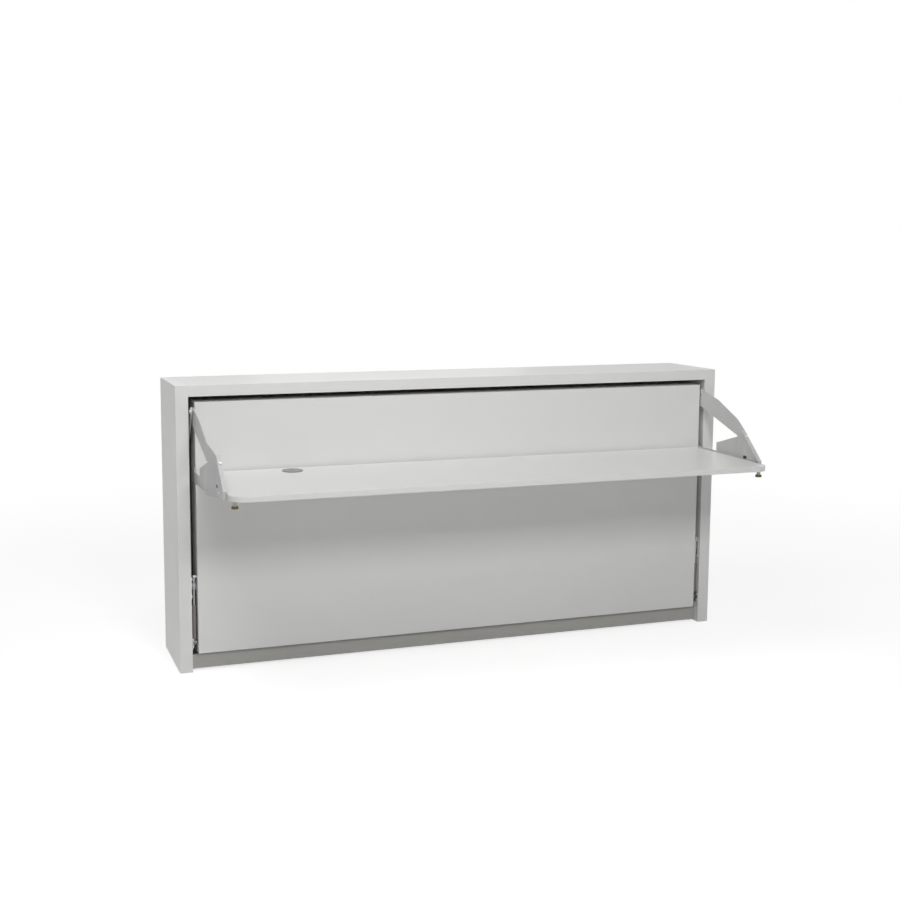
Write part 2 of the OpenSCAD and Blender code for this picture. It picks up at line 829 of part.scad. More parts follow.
// A bracket's sheet seen from above: its front part lies at the desk's end, and its rear
// part lies in the gap at the bed's end, outside the arm that carries the desk
module bracket_plan() {
    bend_shift = plate_t * tan(atan2(bracket_x - front_x, jog_run) / 2);
    inner = [
        [bracket_x, link_top[0] + rod_lug_r + cut_past],
        [bracket_x, jog_rear_y],
        [front_x, jog_front_y],
        [front_x, -bracket_reach - cut_past]
    ];
    outer = [
        [front_x + plate_t, -bracket_reach - cut_past],
        [front_x + plate_t, jog_front_y - bend_shift],
        [bracket_x + plate_t, jog_rear_y - bend_shift],
        [bracket_x + plate_t, link_top[0] + rod_lug_r + cut_past]
    ];
    polygon(concat(inner, outer));
}

// Places a piece on the front flange's outer face, its axis square to the face
module on_front_flange(along)
    translate([front_x - flange_w / 2, nose[0], nose[1]])
        rotate([slope_angle, 0, 0]) translate([0, along, 0]) children();

module desk_bracket(side)
    at_end(side)
        difference() {
            union() {
                intersection() {
                    upright_plate(front_x - cut_past, bracket_x + plate_t - front_x + cut_past * 2)
                        bracket_outline();
                    translate([0, 0, desk_pivot[1] - lug_r - cut_past])
                        linear_extrude(link_top[1] + rod_lug_r + lug_r - desk_pivot[1] + cut_past * 2)
                            bracket_plan();
                }
                block([front_x - foot_flange_w, -bracket_reach, foot_low],
                    [front_x, -bracket_reach + foot_flange_l, desk_under]);
                block([desk_x + desk_end_clear, -bracket_reach, foot_low],
                    [front_x, plate_t - bracket_reach, nose[1]]);
                upright_plate(front_x - flange_w, flange_w)
                    translate(nose) rotate(slope_angle) translate([0, -plate_t]) square([slope_l, plate_t]);
            }
            for (p = foot_bolt_points)
                translate([p[0], p[1], foot_low - cut_past])
                    cylinder(r = screw_r, h = plate_t + cut_past * 2);
            on_front_flange(flange_bolt_at)
                translate([0, 0, -plate_t - cut_past])
                    cylinder(r = screw_r, h = plate_t + cut_past * 2);
        }

module desk_bracket_left() color(grey_steel) desk_bracket(-1);

module desk_bracket_right() color(grey_steel) desk_bracket(1);

module slot_plugs()
    color(black_plastic)
        both_ends() {
            upright_plate(front_x, plate_t) slot_shape(-pin_fit);
            upright_plate(front_x - plug_rim_t, plug_rim_t) slot_shape(plug_rim);
            upright_plate(front_x + plate_t, plug_rim_t) slot_shape(plug_rim);
        }

bolt_head_r = 5;
bolt_head_t = 3.5;
flange_bolt_l = 8;
nut_t = 5;
flange_head_t = 4.5;

module bracket_bolts()
    color(bright_steel)
        both_ends() {
            for (p = foot_bolt_points)
                translate([p[0], p[1], foot_low]) {
                    cylinder(r = screw_r, h = plate_t + bolt_l);
                    translate([0, 0, -bolt_head_t]) cylinder(r = bolt_head_r, h = bolt_head_t, $fn = 6);
                }
            x_bar(edge_bolt, screw_r, desk_x - edge_bolt_l, front_x + plate_t);
            x_bar(edge_bolt, bolt_head_r, desk_x, front_x);
            x_bar(edge_bolt, bolt_head_r, front_x + plate_t, front_x + plate_t + bolt_head_t);
        }

// Bolt at the top of each bracket's front flange
module flange_bolts()
    color(bright_steel)
        both_ends()
            on_front_flange(flange_bolt_at) {
                translate([0, 0, -plate_t - flange_bolt_l])
                    cylinder(r = screw_r, h = plate_t + flange_bolt_l);
                translate([0, 0, -plate_t - nut_t]) cylinder(r = bolt_head_r, h = nut_t, $fn = 6);
                cylinder(r = bolt_head_r, h = flange_head_t, $fn = 6);
            }

// Pins that the desk hangs on, fixed in the brackets and turning in the arms' bushes
module desk_pins()
    color(bright_steel)
        both_ends() {
            x_bar(desk_pivot, pin_r, arm_x - bush_rim_t - layer_gap, bracket_x + plate_t);
            x_bar(desk_pivot, pin_r + collar_w, arm_x - bush_rim_t - layer_gap - head_t,
                arm_x - bush_rim_t - layer_gap);
            x_bar(desk_pivot, pin_r + rivet_rim, bracket_x + plate_t, bracket_x + plate_t + rivet_t);
        }

// Pins that the control rods hang on, fixed in the brackets
module link_pins()
    color(bright_steel)
        both_ends() {
            x_bar(link_top, pin_r, bracket_x, rod_x + rod_t + bush_rim_t + washer_gap);
            x_bar(link_top, pin_r + shoulder_w, bracket_x - head_t, bracket_x);
            x_bar(link_top, pin_r + head_rim, rod_x + rod_t + bush_rim_t + washer_gap,
                rod_x + rod_t + bush_rim_t + washer_gap + head_t);
        }

// Feet under the desk's corners, which stand on the floor when the bed is down
foot_x = desk_x - foot_inset;
foot_front_y = -bracket_reach - foot_front_gap;
foot_rear_y = -desk_gap - foot_rear_inset;

module at_feet()
    both_ends()
        for (y = [foot_front_y, foot_rear_y])
            translate([foot_x, y, desk_under]) children();

module desk_feet()
    color(nylon)
        at_feet() {
            translate([0, 0, -foot_plate_t]) cylinder(r = foot_r + foot_plate_rim, h = foot_plate_t);
            translate([0, 0, foot_pad_t - foot_h])
                cylinder(r = foot_stem_r, h = foot_h - foot_pad_t - foot_plate_t);
        }

module foot_pads()
    color(foot_olive) at_feet() translate([0, 0, -foot_h]) cylinder(r = foot_r, h = foot_pad_t);

module grommet_ring()
    color(grommet_grey)
        translate([grommet_x, grommet_y, 0])
            difference() {
                union() {
                    translate([0, 0, desk_h]) cylinder(r = grommet_r, h = grommet_rim_t);
                    translate([0, 0, desk_under + grommet_lift])
                        cylinder(r = grommet_hole_r - grommet_fit, h = desk_t - grommet_lift);
                }
                translate([0, 0, desk_under])
                    cylinder(r = grommet_bore_r, h = desk_t + grommet_rim_t + cut_past);
                translate([0, 0, desk_h + grommet_floor]) cylinder(r = grommet_recess_r, h = grommet_rim_t);
            }

// Cap that turns in the ring, with a notch for cables at its rear
module grommet_cap()
    color(grommet_grey)
        translate([grommet_x, grommet_y, desk_h + grommet_floor + grommet_cap_gap])
            difference() {
                cylinder(r = grommet_recess_r - pin_fit, h = grommet_rim_t - grommet_floor - grommet_cap_gap);
                translate([-cable_notch_w / 2, grommet_recess_r - cable_notch_d, -cut_past])
                    cube([cable_notch_w, cable_notch_d + cut_past, grommet_rim_t + cut_past * 2]);
            }

// Control rods

rod_vector = link_top - link_low;
rod_l = norm(rod_vector);
rod_angle = atan2(rod_vector[1], rod_vector[0]);

module control_rod(side)
    at_end(side)
        upright_plate(rod_x, rod_t)
            difference() {
                union() {
                    translate(link_low) rotate(rod_angle) translate([0, -rod_w / 2]) square([rod_l, rod_w]);
                    translate(link_low) circle(rod_lug_r);
                    translate(link_top) circle(rod_lug_r);
                }
                translate(link_low) circle(bush_r);
                translate(link_top) circle(bush_r);
            }

module control_rod_left() color(grey_steel) control_rod(-1);

module control_rod_right() color(grey_steel) control_rod(1);

module rod_bushes(side)
    at_end(side) {
        flanged_bush(link_low, rod_x, rod_t);
        flanged_bush(link_top, rod_x, rod_t);
    }

module rod_bushes_left() color(nylon) rod_bushes(-1);

module rod_bushes_right() color(nylon) rod_bushes(1);

// Gas springs, modelled along +Z from the lower pin and then leaned over

module along_spring(side)
    at_end(side)
        translate([spring_axis_x, spring_low[0], spring_low[1]]) rotate([spring_lean, 0, 0]) children();

module spring_cylinder(side)
    along_spring(side)
        difference() {
            union() {
                rotate([0, 90, 0]) cylinder(r = spring_eye_r, h = spring_eye_w, center = true);
                translate([0, 0, spring_eye_r - neck_sink])
                    cylinder(r = spring_neck_r, h = cylinder_start - spring_eye_r + neck_sink + cut_past);
                translate([0, 0, cylinder_start]) cylinder(r = cylinder_r, h = cylinder_l);
            }
            rotate([0, 90, 0])
                cylinder(r = spring_pin_r + pin_fit, h = spring_eye_w + cut_past * 2, center = true);
            translate([0, 0, cylinder_start + cylinder_floor])
                cylinder(r = spring_rod_r + pin_fit, h = cylinder_l);
        }

module spring_cylinder_left() color(dark_steel) spring_cylinder(-1);

module spring_cylinder_right() color(dark_steel) spring_cylinder(1);

module spring_rod(side)
    along_spring(side)
        translate([0, 0, cylinder_end - rod_in_cylinder])
            cylinder(r = spring_rod_r,
                h = spring_l - socket_r + rod_in_socket - cylinder_end + rod_in_cylinder);

module spring_rod_left() color(bright_steel) spring_rod(-1);

module spring_rod_right() color(bright_steel) spring_rod(1);

module spring_socket(side)
    along_spring(side)
        difference() {
            union() {
                translate([0, 0, spring_l])
                    rotate([0, 90, 0]) cylinder(r = socket_r, h = socket_w, center = true);
                translate([0, 0, spring_l - socket_r - socket_neck_l])
                    cylinder(r = socket_neck_r, h = socket_neck_l + neck_sink);
            }
            translate([0, 0, spring_l - socket_r - socket_neck_l - cut_past])
                cylinder(r = spring_rod_r, h = socket_neck_l + cut_past + rod_in_socket);
        }

module spring_socket_left() color(bright_steel) spring_socket(-1);

module spring_socket_right() color(bright_steel) spring_socket(1);

placed() side_left();
placed() side_right();
placed() top_panel();
placed() kick_rail();
placed() wall_rail_upper();
placed() wall_rail_lower();
placed() back_panel();
placed() corner_brackets();
placed() levelling_feet();
placed() bed_pivot_left();
placed() bed_pivot_right();
placed() link_pivot_left();
placed() link_pivot_right();
placed() spring_base_left();
placed() spring_base_right();
placed() stop_blocks();
placed() stop_pads();
placed() plate_screws();
placed() front_panel();
placed() bed_rail_lower();
placed() bed_rail_upper();
placed() bed_end_left();
placed() bed_end_right();
placed() slat_bearer_lower();
placed() slat_bearer_upper();
placed() panel_battens();
placed() slats();
placed() slat_caps();
placed() mattress();
placed() mattress_straps();
placed() strap_buckles();
placed() pivot_bushes();
placed() desk_arm_left();
placed() desk_arm_right();
placed() arm_screws();
placed() arm_bushes();
placed() spring_studs();
placed() desk_top();
placed() desk_bracket_left();
placed() desk_bracket_right();
placed() slot_plugs();
placed() bracket_bolts();
placed() flange_bolts();
placed() desk_pins();
placed() link_pins();
placed() desk_feet();
placed() foot_pads();
placed() grommet_ring();
placed() grommet_cap();
placed() control_rod_left();
placed() control_rod_right();
placed() rod_bushes_left();
placed() rod_bushes_right();
placed() spring_cylinder_left();
placed() spring_cylinder_right();
placed() spring_rod_left();
placed() spring_rod_right();
placed() spring_socket_left();
placed() spring_socket_right();
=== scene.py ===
import json
import math

import bmesh
import bpy
from mathutils import Matrix, Vector
from mathutils.bvhtree import BVHTree

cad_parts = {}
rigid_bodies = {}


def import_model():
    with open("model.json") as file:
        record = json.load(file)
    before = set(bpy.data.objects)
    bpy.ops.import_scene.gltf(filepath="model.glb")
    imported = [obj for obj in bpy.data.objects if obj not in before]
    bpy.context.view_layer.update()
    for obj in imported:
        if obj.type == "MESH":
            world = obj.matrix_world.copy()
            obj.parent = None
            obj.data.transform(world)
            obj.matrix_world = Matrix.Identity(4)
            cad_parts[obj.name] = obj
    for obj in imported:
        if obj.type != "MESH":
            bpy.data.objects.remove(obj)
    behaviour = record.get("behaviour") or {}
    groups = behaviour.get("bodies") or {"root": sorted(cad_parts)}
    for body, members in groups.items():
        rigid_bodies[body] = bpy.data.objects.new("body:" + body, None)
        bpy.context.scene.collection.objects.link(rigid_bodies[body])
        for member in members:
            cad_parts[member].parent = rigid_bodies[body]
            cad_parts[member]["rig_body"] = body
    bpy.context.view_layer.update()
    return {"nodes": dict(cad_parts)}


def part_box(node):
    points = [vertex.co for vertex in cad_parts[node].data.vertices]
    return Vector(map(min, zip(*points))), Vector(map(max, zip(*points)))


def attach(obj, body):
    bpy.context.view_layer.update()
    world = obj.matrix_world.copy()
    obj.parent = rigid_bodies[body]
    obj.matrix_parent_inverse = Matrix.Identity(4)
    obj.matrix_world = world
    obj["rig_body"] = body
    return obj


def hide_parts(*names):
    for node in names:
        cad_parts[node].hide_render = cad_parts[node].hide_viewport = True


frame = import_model()
nodes = frame["nodes"]
print("frame loaded")

# Camera, fitted to the photograph's edges: metres, degrees, and millimetres for the lens
camera = {
    "place": (-1.7985, -4.4101, 1.4971),
    "yaw": -18.30,
    "pitch": -7.105,
    "roll": -0.045,
    "lens": 51.52,
    "sensor": 36,
    "shiftX": 0.0711,
    "shiftY": -0.0368,
    "farthest": 60,
}


def rotation(degrees, axis):
    return Matrix.Rotation(math.radians(degrees), 4, axis)


def makeCamera():
    data = bpy.data.cameras.new("camera")
    data.sensor_width = camera["sensor"]
    data.lens = camera["lens"]
    data.shift_x = camera["shiftX"]
    data.shift_y = camera["shiftY"]
    data.clip_end = camera["farthest"]
    eye = bpy.data.objects.new("camera", data)
    # Unturned, a camera looks straight down: a right angle about X lets it look along Y
    turn = rotation(camera["yaw"], "Z") @ rotation(camera["pitch"], "X")
    turn = turn @ rotation(camera["roll"], "Y") @ rotation(90, "X")
    eye.matrix_world = Matrix.Translation(camera["place"]) @ turn
    bpy.context.scene.collection.objects.link(eye)
    bpy.context.scene.camera = eye


makeCamera()
print("camera made")


# Shader maths: a node's output that adds, multiplies and mixes
class Wire:
    def __init__(self, owner, socket):
        self.owner = owner
        self.socket = socket

    def math(self, operation, *others):
        return self.owner.node("ShaderNodeMath", dict(enumerate((self, *others))), operation=operation)

    def __add__(self, other):
        return self.math("ADD", other)

    def __sub__(self, other):
        return self.math("SUBTRACT", other)

    def __rsub__(self, other):
        return (self * -1) + other

    def __mul__(self, other):
        return self.math("MULTIPLY", other)

    __radd__ = __add__
    __rmul__ = __mul__

    def wave(self, length):
        # A sine with one period in each length
        return (self * (2 * math.pi / length)).math("SINE")

    def smooth(self, low, high, start=0.0, end=1.0):
        # Runs softly from start to end while this runs from low to high
        sockets = {0: self, 1: low, 2: high, 3: start, 4: end}
        return self.owner.node("ShaderNodeMapRange", sockets, interpolation_type="SMOOTHSTEP")

    def length(self):
        return self.owner.node("ShaderNodeVectorMath", {0: self}, "Value", operation="LENGTH")

    def split(self):
        return [self.owner.node("ShaderNodeSeparateXYZ", {0: self}, axis) for axis in "XYZ"]


# A node tree: every node comes from node(), which returns one of its outputs
class Nodes:
    def __init__(self, tree):
        self.tree = tree

    def node(self, kind, sockets=(), output=0, **settings):
        made = self.tree.nodes.new(kind)
        for key, value in settings.items():
            setattr(made, key, value)
        for slot, value in dict(sockets).items():
            self.feed(made.inputs[slot], value)
        return Wire(self, made.outputs[output])

    def feed(self, slot, value):
        if isinstance(value, Wire):
            self.tree.links.new(value.socket, slot)
        else:
            slot.default_value = value

    def seen(self):
        # 1 for rays that reach the eye directly, or by way of gloss or glass
        direct, gloss, glass = (self.node("ShaderNodeLightPath", output=f"Is {ray} Ray")
                                for ray in ("Camera", "Glossy", "Transmission"))
        return direct.math("MAXIMUM", gloss).math("MAXIMUM", glass)


class Shader(Nodes):
    def __init__(self, name, colour, roughness=0.5, metallic=0.0, **constants):
        self.material = bpy.data.materials.new(name)
        self.material.use_nodes = True
        super().__init__(self.material.node_tree)
        self.surface = self.tree.nodes["Principled BSDF"]
        self.colour = colour
        self.feed(self.surface.inputs["Base Color"], (*colour, 1))
        self.feed(self.surface.inputs["Roughness"], roughness)
        self.feed(self.surface.inputs["Metallic"], metallic)
        for socket, value in constants.items():
            self.feed(self.surface.inputs[socket.replace("_", " ")], value)
        self.material.diffuse_color = (*colour, 1)

    def place(self, stretch=(1, 1, 1)):
        # Object coordinates in metres, times a number along each axis
        start = self.node("ShaderNodeTexCoord", output="Object")
        return self.node("ShaderNodeMapping", {"Vector": start, "Scale": stretch})

    def noise(self, place, scale, detail, roughness=0.5, distortion=0.0):
        return self.node("ShaderNodeTexNoise", {"Vector": place, "Scale": scale, "Detail": detail,
                                                "Roughness": roughness, "Distortion": distortion})

    def cells(self, place, scale):
        return self.node("ShaderNodeTexVoronoi", {"Vector": place, "Scale": scale})

    def attribute(self, name):
        return self.node("ShaderNodeAttribute", output="Fac", attribute_name=name)

    def before(self, slot, start):
        # What already feeds a socket, or a start value
        return Wire(self, slot.links[0].from_socket) if slot.is_linked else start

    def tint(self, amount, other):
        # Base colour runs from what it was to another as amount goes from 0 to 1
        base = self.surface.inputs["Base Color"]
        sockets = {"Factor": amount, "A": self.before(base, (*self.colour, 1)), "B": (*other, 1)}
        self.feed(base, self.node("ShaderNodeMix", sockets, "Result", data_type="RGBA"))

    def gloss(self, pattern, smoothest, dullest, low=0.3, high=0.7):
        # Roughness runs from smoothest to dullest while the pattern runs from low to high
        self.feed(self.surface.inputs["Roughness"], pattern.smooth(low, high, smoothest, dullest))

    def bump(self, height, distance, strength):
        normal = self.surface.inputs["Normal"]
        self.feed(normal, self.node("ShaderNodeBump", {"Height": height, "Distance": distance,
                                                       "Strength": strength}))


def shaded(colour, share):
    return tuple(min(1, channel * share) for channel in colour)


def laminateMaterial(name, colour, roughness):
    # Satin laminate: a fine pearl grain, hardly any cloud, and faint wipe marks in the gloss
    shader = Shader(name, colour, roughness, IOR=1.45)
    place = shader.place()
    cloud = shader.noise(place, scale=1.7, detail=3)
    wiped = shader.noise(place, scale=2.6, detail=2)
    grain = shader.noise(place, scale=1100, detail=2)
    shader.tint(cloud.smooth(0.35, 0.7), shaded(colour, 0.985))
    shader.gloss(wiped, roughness - 0.01, roughness + 0.015, low=0.2, high=0.8)
    shader.bump(grain, distance=0.00004, strength=0.3)
    return shader.material


def seamMaterial(name, clean, dirty):
    # The glue line between a board's face and its edge band, with a little grime
    shader = Shader(name, clean, 0.6)
    grime = shader.noise(shader.place(), scale=60, detail=3)
    shader.tint(grime.smooth(0.3, 0.7, end=0.6), dirty)
    return shader.material


def powderMaterial(name, colour, roughness):
    # Powder coat: orange peel, a soft cloud, and rubbed spots along the rounded edges
    shader = Shader(name, colour, roughness, Coat_Weight=0.12, Coat_Roughness=0.3)
    place = shader.place()
    peel = shader.noise(place, scale=420, detail=2)
    cloud = shader.noise(place, scale=9, detail=4)
    rubbed = shader.attribute("edge") * shader.noise(place, scale=130, detail=3).smooth(0.5, 0.72)
    shader.tint(cloud.smooth(0.3, 0.7, end=0.5), shaded(colour, 0.94))
    shader.tint(rubbed * 0.6, shaded(colour, 1.25))
    shader.gloss(cloud, roughness - 0.06, roughness + 0.08)
    shader.bump(peel, distance=0.0002, strength=0.3)
    return shader.material


def steelMaterial(name, colour, roughness, stretch=(1, 1, 1)):
    # Plated or polished steel: spangles in the colour, streaks in the gloss
    shader = Shader(name, colour, roughness, metallic=1.0)
    streak = shader.noise(shader.place(stretch), scale=260, detail=3, roughness=0.6)
    spangle = shader.cells(shader.place(), scale=160)
    shader.tint(spangle.smooth(0.1, 0.7, end=0.45), shaded(colour, 0.8))
    shader.gloss(streak, roughness - 0.08, roughness + 0.12)
    shader.bump(streak, distance=0.00005, strength=0.3)
    return shader.material


# Wood: its pattern is drawn out along the grain and squeezed across it
timber = {
    "along": 0.9,
    "across": 14.0,
    "finer": 14,  # fibres against rings
}


def timberMaterial(name, light, dark, along, ringScale):
    # Rings and fine fibres, with the grain along one axis
    shader = Shader(name, light, 0.55)
    place = shader.place(tuple(timber["along" if axis == along else "across"] for axis in "XYZ"))
    rings = shader.noise(place, ringScale, detail=6, roughness=0.62, distortion=0.6)
    fibre = shader.noise(place, ringScale * timber["finer"], detail=3)
    shader.tint(rings.smooth(0.38, 0.66), dark)
    shader.tint(fibre.smooth(0.45, 0.8, end=0.35), shaded(dark, 0.72))
    shader.gloss(rings, 0.48, 0.62)
    shader.bump(fibre, distance=0.0002, strength=0.4)
    return shader.material


def plasticMaterial(name, colour, roughness, grain=700):
    # Moulded plastic or rubber: a fine grain, a soft cloud in colour and gloss
    shader = Shader(name, colour, roughness, IOR=1.5)
    place = shader.place()
    skin = shader.noise(place, scale=grain, detail=2)
    cloud = shader.noise(place, scale=20, detail=3)
    shader.tint(cloud.smooth(0.3, 0.7, end=0.5), shaded(colour, 0.88))
    shader.gloss(cloud, roughness - 0.05, roughness + 0.07)
    shader.bump(skin, distance=0.0001, strength=0.35)
    return shader.material


# Knitted ticking: the pitches of its stitches and ribs
knit = {
    "across": 0.0024,
    "up": 0.0032,
    "rib": 0.009,
    "height": 0.0005,
}


def tickingMaterial(name, light, shade):
    # Fine stitches in rows over a soft cloud of shade
    shader = Shader(name, light, 0.85, Sheen_Weight=0.2)
    place = shader.place()
    x, y, z = place.split()
    stitches = x.wave(knit["across"]) * (z + y).wave(knit["up"])
    rib = (x + z).wave(knit["rib"])
    cloud = shader.noise(place, scale=9, detail=4)
    shader.tint(stitches.smooth(-0.2, 1, end=0.4), shade)
    shader.tint(cloud.smooth(0.35, 0.7, end=0.3), shaded(light, 0.93))
    shader.gloss(cloud, 0.78, 0.92)
    shader.bump(stitches * 0.6 + rib * 0.4, distance=knit["height"], strength=0.5)
    return shader.material


# Herringbone webbing: yarns slant one way, then the other, across the width
herringbone = {
    "zigzag": 3.3,  # millimetres from one turn of the yarns to the next
    "slope": 2.1,
    "yarns": 2100,  # radians in a metre of strap
    "height": 0.0006,
}


def webbingMaterial(name, dark, pale, worn):
    shader = Shader(name, dark, 0.8, Sheen_Weight=0.3)
    place = shader.place()
    x, y, z = place.split()
    millimetres = x * 1000
    slant = millimetres.math("PINGPONG", herringbone["zigzag"])
    yarn = ((y + z) * herringbone["yarns"] + slant * herringbone["slope"]).math("SINE")
    wear = shader.noise(place, scale=25, detail=4)
    shader.tint(yarn.smooth(-0.5, 0.9, end=0.6), pale)
    shader.tint(wear.smooth(0.5, 0.8, end=0.3), worn)
    shader.gloss(wear, 0.72, 0.86)
    shader.bump(yarn, distance=herringbone["height"], strength=0.7)
    return shader.material


# Edges of the bent ply slats: thin layers across the thickness, with fibres along the slat
plyEdge = {
    "layer": 0.0027,
    "layerHeight": 0.00015,
    "fibres": (200, 200, 12),
}


def plyMaterial(name, light, glue, dark):
    shader = Shader(name, light, 0.6)
    x, y, z = shader.place().split()
    layers = y.wave(plyEdge["layer"])
    fibre = shader.noise(shader.place(plyEdge["fibres"]), scale=1.0, detail=3)
    shader.tint(layers.smooth(-0.3, 0.6, end=0.75), glue)
    shader.tint(fibre.smooth(0.45, 0.8, end=0.3), dark)
    shader.gloss(fibre, 0.52, 0.68)
    shader.bump(layers, distance=plyEdge["layerHeight"], strength=0.4)
    return shader.material


pineShades = ((0.66, 0.50, 0.30), (0.50, 0.33, 0.17))
beechShades = ((0.70, 0.52, 0.33), (0.56, 0.38, 0.22))
materials = {
    "laminate": laminateMaterial("whiteLaminate", (0.82, 0.82, 0.805), 0.34),
    "band": laminateMaterial("edgeBand", (0.83, 0.83, 0.82), 0.3),
    "seam": seamMaterial("edgeSeam", (0.50, 0.49, 0.47), (0.38, 0.37, 0.35)),
    "kick": laminateMaterial("greyLaminate", (0.46, 0.455, 0.43), 0.4),
    "greySteel": powderMaterial("greyPowderCoat", (0.60, 0.602, 0.60), 0.42),
    "zinc": steelMaterial("brightZinc", (0.74, 0.75, 0.78), 0.32),
    "dullZinc": steelMaterial("dullZinc", (0.46, 0.465, 0.48), 0.5),
    "polished": steelMaterial("polishedRod", (0.62, 0.62, 0.63), 0.24, stretch=(1, 1, 30)),
    "darkPaint": powderMaterial("darkPaint", (0.25, 0.23, 0.22), 0.36),
    "pine": timberMaterial("planedPine", *pineShades, along="X", ringScale=3.0),
    "pineUpright": timberMaterial("uprightPine", *pineShades, along="Z", ringScale=3.0),
    "beech": timberMaterial("beechPly", *beechShades, along="Z", ringScale=5.0),
    "blackPlastic": plasticMaterial("blackPlastic", (0.035, 0.035, 0.036), 0.42),
    "nylon": plasticMaterial("naturalNylon", (0.66, 0.65, 0.60), 0.4),
    "greyPlastic": plasticMaterial("greyPlastic", (0.22, 0.22, 0.215), 0.5),
    "rubber": plasticMaterial("blackRubber", (0.022, 0.022, 0.022), 0.72, grain=300),
    "olive": plasticMaterial("oliveRubber", (0.145, 0.115, 0.035), 0.6, grain=300),
    "grommet": plasticMaterial("grommetGrey", (0.27, 0.27, 0.27), 0.38),
    "ply": plyMaterial("plyEdge", (0.66, 0.47, 0.28), (0.40, 0.25, 0.13), (0.34, 0.21, 0.11)),
    "ticking": tickingMaterial("tickingKnit", (0.80, 0.80, 0.77), (0.66, 0.66, 0.63)),
    "border": tickingMaterial("borderKnit", (0.70, 0.71, 0.70), (0.52, 0.53, 0.53)),
    "piping": tickingMaterial("pipingKnit", (0.30, 0.31, 0.33), (0.20, 0.21, 0.23)),
    "thread": plasticMaterial("paleThread", (0.52, 0.52, 0.50), 0.6, grain=1500),
    "webbing": webbingMaterial("strapWebbing", (0.085, 0.09, 0.10), (0.15, 0.155, 0.17),
                               (0.19, 0.19, 0.20)),
}
print("materials made")

# Mesh helpers
cleaning = {
    "mergeWithin": 2e-6,
    "flatWithin": 0.6,  # degrees: triangles that turn less become one face
}


def cadMesh(node):
    mesh = bmesh.new()
    mesh.from_mesh(nodes[node].data)
    bmesh.ops.remove_doubles(mesh, verts=mesh.verts, dist=cleaning["mergeWithin"])
    bmesh.ops.dissolve_limit(mesh, angle_limit=math.radians(cleaning["flatWithin"]), verts=mesh.verts,
                             edges=mesh.edges)
    return mesh


def bevelled(mesh, edges, width, segments, clamp=False):
    return bmesh.ops.bevel(mesh, geom=edges, offset=width, segments=segments, profile=0.5,
                           affect="EDGES", material=-1, clamp_overlap=clamp)


def roundEdges(mesh, width, segments=2, sharper=30):
    # Rounds the edges that turn by more than an angle in degrees, and marks the rounded faces
    layer = mesh.faces.layers.float.get("edge") or mesh.faces.layers.float.new("edge")
    limit = math.radians(sharper)
    edges = [edge for edge in mesh.edges if len(edge.link_faces) == 2 and edge.calc_face_angle(0) > limit]
    for face in bevelled(mesh, edges, width, segments, clamp=True)["faces"]:
        face[layer] = 1.0


def makeObject(name, data):
    made = bpy.data.objects.new(name, data)
    bpy.context.scene.collection.objects.link(made)
    return made


def makePiece(mesh, node, *kinds, part="piece", standsIn=True, sharp=40):
    # A piece named after a CAD node, on its body and in the given finishes, that may stand in for it
    body = nodes[node]["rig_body"]
    replaced = [node] if standsIn else []
    for face in mesh.faces:
        face.smooth = True
    limit = math.radians(sharp)
    for edge in mesh.edges:
        edge.smooth = len(edge.link_faces) == 2 and edge.calc_face_angle(0) < limit
    data = bpy.data.meshes.new(f"{node}.{part}")
    mesh.to_mesh(data)
    mesh.free()
    for kind in kinds:
        data.materials.append(materials[kind])
    piece = makeObject(f"{node}.{part}", data)
    weighted = piece.modifiers.new("weighted", "WEIGHTED_NORMAL")
    weighted.keep_sharp = True
    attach(piece, body)
    if replaced:
        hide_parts(*replaced)
    return piece


def edgesOf(verts):
    # Each edge at some vertices once, in the vertices' order
    return list(dict.fromkeys(edge for vert in verts for edge in vert.link_edges))


def addBlock(mesh, size, place):
    # A block of three sizes with its middle at a place
    verts = bmesh.ops.create_cube(mesh, size=1)["verts"]
    bmesh.ops.scale(mesh, verts=verts, vec=size)
    bmesh.ops.translate(mesh, verts=verts, vec=place)
    return verts


# Laminated boards: rounded edge bands, and a fine seam where each band meets the faces
boards = {
    "bandRadius": 0.0012,
    "deskRadius": 0.0022,
    "backRadius": 0.0004,
    "bandSegments": 3,
    "seamWidth": 0.0004,
    "faceTurn": 0.999,  # faces whose normal lies this much along the thickness are laminate
}


def laminated(node, face="laminate", band="band", radius=boards["bandRadius"]):
    mesh = cadMesh(node)
    low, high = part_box(node)
    size = high - low
    thin = min(range(3), key=lambda axis: size[axis])
    roundEdges(mesh, radius, boards["bandSegments"])
    flat = [f for f in mesh.faces if abs(f.normal[thin]) > boards["faceTurn"]]
    for f in mesh.faces:
        f.material_index = 1
    for f in flat:
        f.material_index = 0
    strip = bmesh.ops.inset_region(mesh, faces=flat, thickness=boards["seamWidth"], use_even_offset=True)
    for f in strip["faces"]:
        f.material_index = 2
    makePiece(mesh, node, face, band, "seam")


for board in ("side_left", "side_right", "top_panel", "front_panel", "bed_rail_lower", "bed_rail_upper",
              "bed_end_left", "bed_end_right", "wall_rail_upper", "wall_rail_lower"):
    laminated(board)
laminated("kick_rail", "kick", "kick")
laminated("back_panel", radius=boards["backRadius"])
laminated("desk_top", radius=boards["deskRadius"])
print("boards made")

